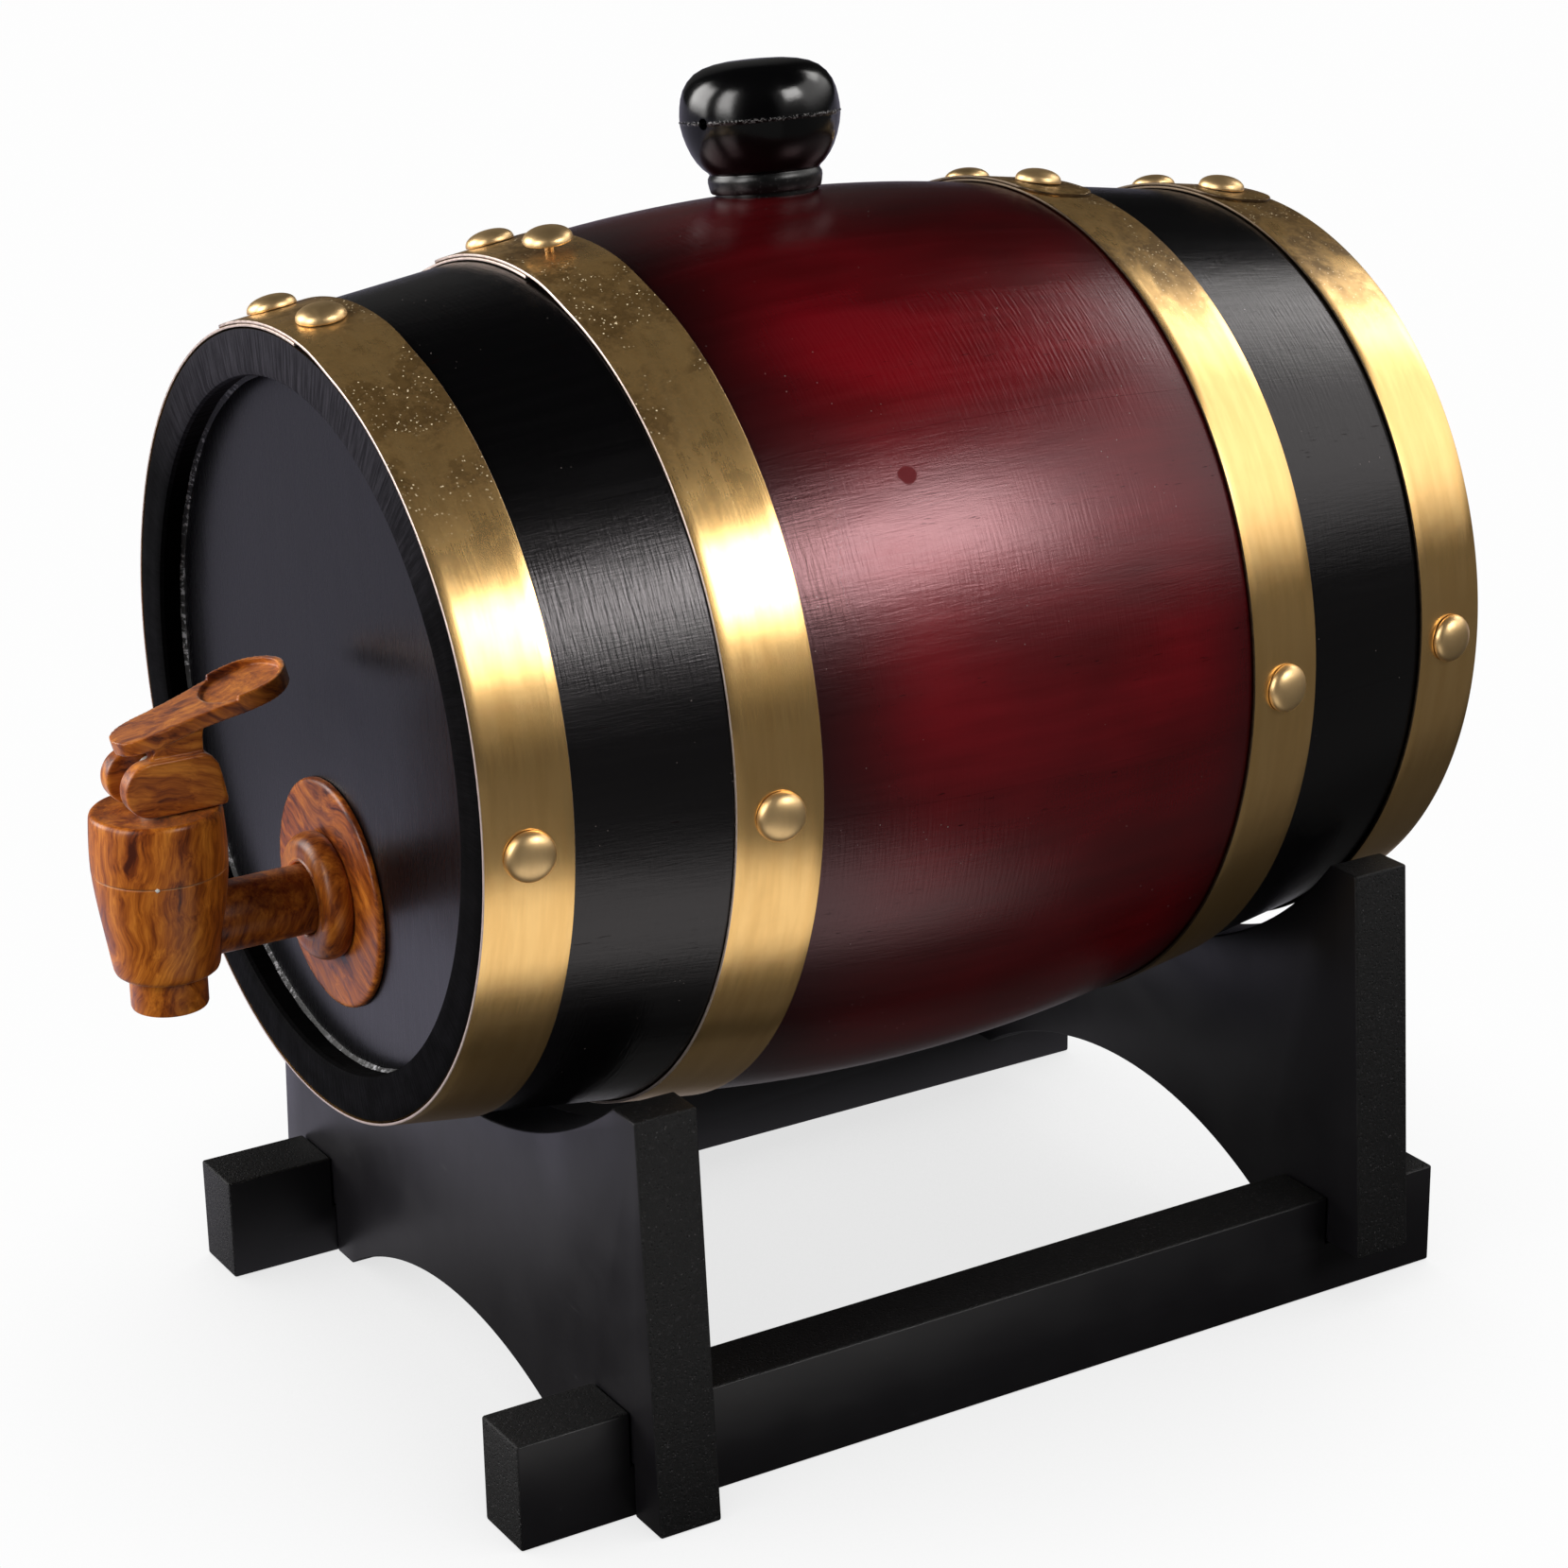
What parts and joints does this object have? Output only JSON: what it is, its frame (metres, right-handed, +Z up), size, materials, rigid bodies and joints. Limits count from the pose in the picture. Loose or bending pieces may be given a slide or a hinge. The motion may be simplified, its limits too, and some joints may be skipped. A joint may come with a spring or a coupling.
{
  "type": "oak wine barrel",
  "caption": "Small coopered wine barrel with brass hoops, lever tap and bung, lying on a notched wooden cradle stand.",
  "frame": {"origin": "on the floor under the centre of the overall bounding box", "axes": "+Z up, -Y towards the tap end, +Y towards the rear head, barrel axis along Y"},
  "size_m": [0.1952, 0.2938, 0.2819],
  "materials": {
    "stave_lacquer": "satin lacquer, dark red in the middle fading to black at both ends",
    "head_black": "satin black paint",
    "hoop_brass": "brushed, mottled patina",
    "nail_brass": "polished domes",
    "bung_black": "semi-gloss black",
    "tap_grain": "gloss, moulded swirling wood-grain colour",
    "tap_white": "matt white",
    "tap_rubber": "matt",
    "tap_steel": "drawn wire",
    "stand_black": "satin black paint with speckled sawn edges"
  },
  "bodies": {
    "stand": {"left_rail": "stand_black", "right_rail": "stand_black", "front_cradle_board": "stand_black", "rear_cradle_board": "stand_black"},
    "barrel": {"stave_01": "stave_lacquer", "stave_02": "stave_lacquer", "stave_03": "stave_lacquer", "stave_04": "stave_lacquer", "stave_05": "stave_lacquer", "stave_06": "stave_lacquer", "stave_07": "stave_lacquer", "stave_08": "stave_lacquer", "stave_09": "stave_lacquer", "stave_10": "stave_lacquer", "stave_11": "stave_lacquer", "stave_12": "stave_lacquer", "stave_13": "stave_lacquer", "stave_14": "stave_lacquer", "stave_15": "stave_lacquer", "stave_16": "stave_lacquer", "front_head": "head_black", "rear_head": "head_black", "front_end_hoop": "hoop_brass", "front_bilge_hoop": "hoop_brass", "rear_bilge_hoop": "hoop_brass", "rear_end_hoop": "hoop_brass", "front_end_nail_a": "nail_brass", "front_end_nail_b": "nail_brass", "front_end_nail_c": "nail_brass", "front_end_nail_d": "nail_brass", "front_bilge_nail_a": "nail_brass", "front_bilge_nail_b": "nail_brass", "front_bilge_nail_c": "nail_brass", "front_bilge_nail_d": "nail_brass", "rear_bilge_nail_a": "nail_brass", "rear_bilge_nail_b": "nail_brass", "rear_bilge_nail_c": "nail_brass", "rear_bilge_nail_d": "nail_brass", "rear_end_nail_a": "nail_brass", "rear_end_nail_b": "nail_brass", "rear_end_nail_c": "nail_brass", "rear_end_nail_d": "nail_brass", "tap_body": "tap_grain", "tap_bonnet": "tap_grain", "tap_escutcheon": "tap_grain", "tap_collar": "tap_grain", "tap_washer": "tap_rubber", "tap_nut": "tap_grain", "tap_spring": "tap_steel"},
    "bung": {"bung": "bung_black"},
    "valve": {"tap_valve_seal": "tap_rubber"},
    "stem": {"tap_stem": "tap_white", "tap_lever_pin": "tap_steel"},
    "lever": {"tap_lever": "tap_grain"}
  },
  "joints": [
    {"name": "barrel_lift", "type": "slide", "parent": "stand", "child": "barrel", "axis": [0, 0, 1], "range_m": [0, 0.12]},
    {"name": "bung_pull", "type": "slide", "parent": "barrel", "child": "bung", "axis": [-0.1305, 0, 0.9914], "range_m": [0, 0.045]},
    {"name": "valve_lift", "type": "slide", "parent": "barrel", "child": "valve", "axis": [0, 0, 1], "range_m": [0, 0.0036], "deforming": ["tap_spring"]},
    {"name": "stem_swivel", "type": "hinge", "parent": "valve", "child": "stem", "pos_m": [0, -0.13273, 0.156], "axis": [0, 0, 1], "continuous": true},
    {"name": "lever_tip", "type": "hinge", "parent": "stem", "child": "lever", "pos_m": [0, -0.13273, 0.152], "axis": [1, 0, 0], "range_deg": [0, 70]}
  ],
  "couplings": [
    {"joint": "valve_lift", "follows": "lever_tip", "m_per_rad": 0.0029467}
  ]
}
